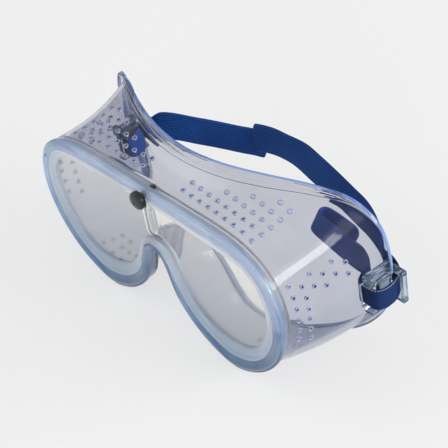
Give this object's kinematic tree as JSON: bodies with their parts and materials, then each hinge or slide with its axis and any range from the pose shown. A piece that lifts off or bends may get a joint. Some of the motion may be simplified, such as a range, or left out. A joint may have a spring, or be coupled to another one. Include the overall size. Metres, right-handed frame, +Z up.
{
  "type": "safety goggles",
  "caption": "Clear wide-vision safety goggles with a soft moulded frame, flat lens, perforated vents, flared face flange, side strap loops and an elastic headband.",
  "frame": {"origin": "centre of the bounding box at its lowest level, where the goggles stand on a surface", "axes": "+X towards the wearer's left, +Y backwards from the lens towards the headband, +Z up"},
  "size_m": [0.1728, 0.0913, 0.0805],
  "materials": {
    "tinted_frame": "soft clear plastic, faint blue tint",
    "clear_skirt": "soft clear plastic",
    "lens": "clear, glossy sheet",
    "black_plastic": "moulded black",
    "elastic": "ribbed woven elastic",
    "thread": "sewing thread"
  },
  "bodies": {
    "mask": {"rim": "tinted_frame", "front_lip": "tinted_frame", "front_bead": "tinted_frame", "lens": "lens", "rivet_head": "black_plastic", "rivet_shank": "black_plastic", "rivet_cap": "black_plastic", "skirt_top": "clear_skirt", "skirt_side_right": "clear_skirt", "skirt_side_left": "clear_skirt", "skirt_bottom_right": "clear_skirt", "skirt_bottom_left": "clear_skirt", "nose_bridge": "tinted_frame", "face_flange": "tinted_frame", "lug_right": "tinted_frame", "lug_left": "tinted_frame", "strap_loop_right": "elastic", "strap_loop_left": "elastic"},
    "headband": {"band_right": "elastic", "band_left": "elastic", "lap_stitches": "thread"},
    "tail_right": {"tail_right": "elastic"},
    "tail_left": {"tail_left": "elastic"}
  },
  "joints": [
    {"name": "headband_swing", "type": "hinge", "parent": "mask", "child": "headband", "pos_m": [0, 0.01991, 0.032], "axis": [1, 0, 0], "range_deg": [-35, 35]},
    {"name": "tail_right_swing", "type": "hinge", "parent": "mask", "child": "tail_right", "pos_m": [0.07405, 0.0033, 0.03], "axis": [1, 0, 0], "range_deg": [-15, 15]},
    {"name": "tail_left_swing", "type": "hinge", "parent": "mask", "child": "tail_left", "pos_m": [-0.07405, 0.0033, 0.03], "axis": [1, 0, 0], "range_deg": [-15, 15]}
  ]
}
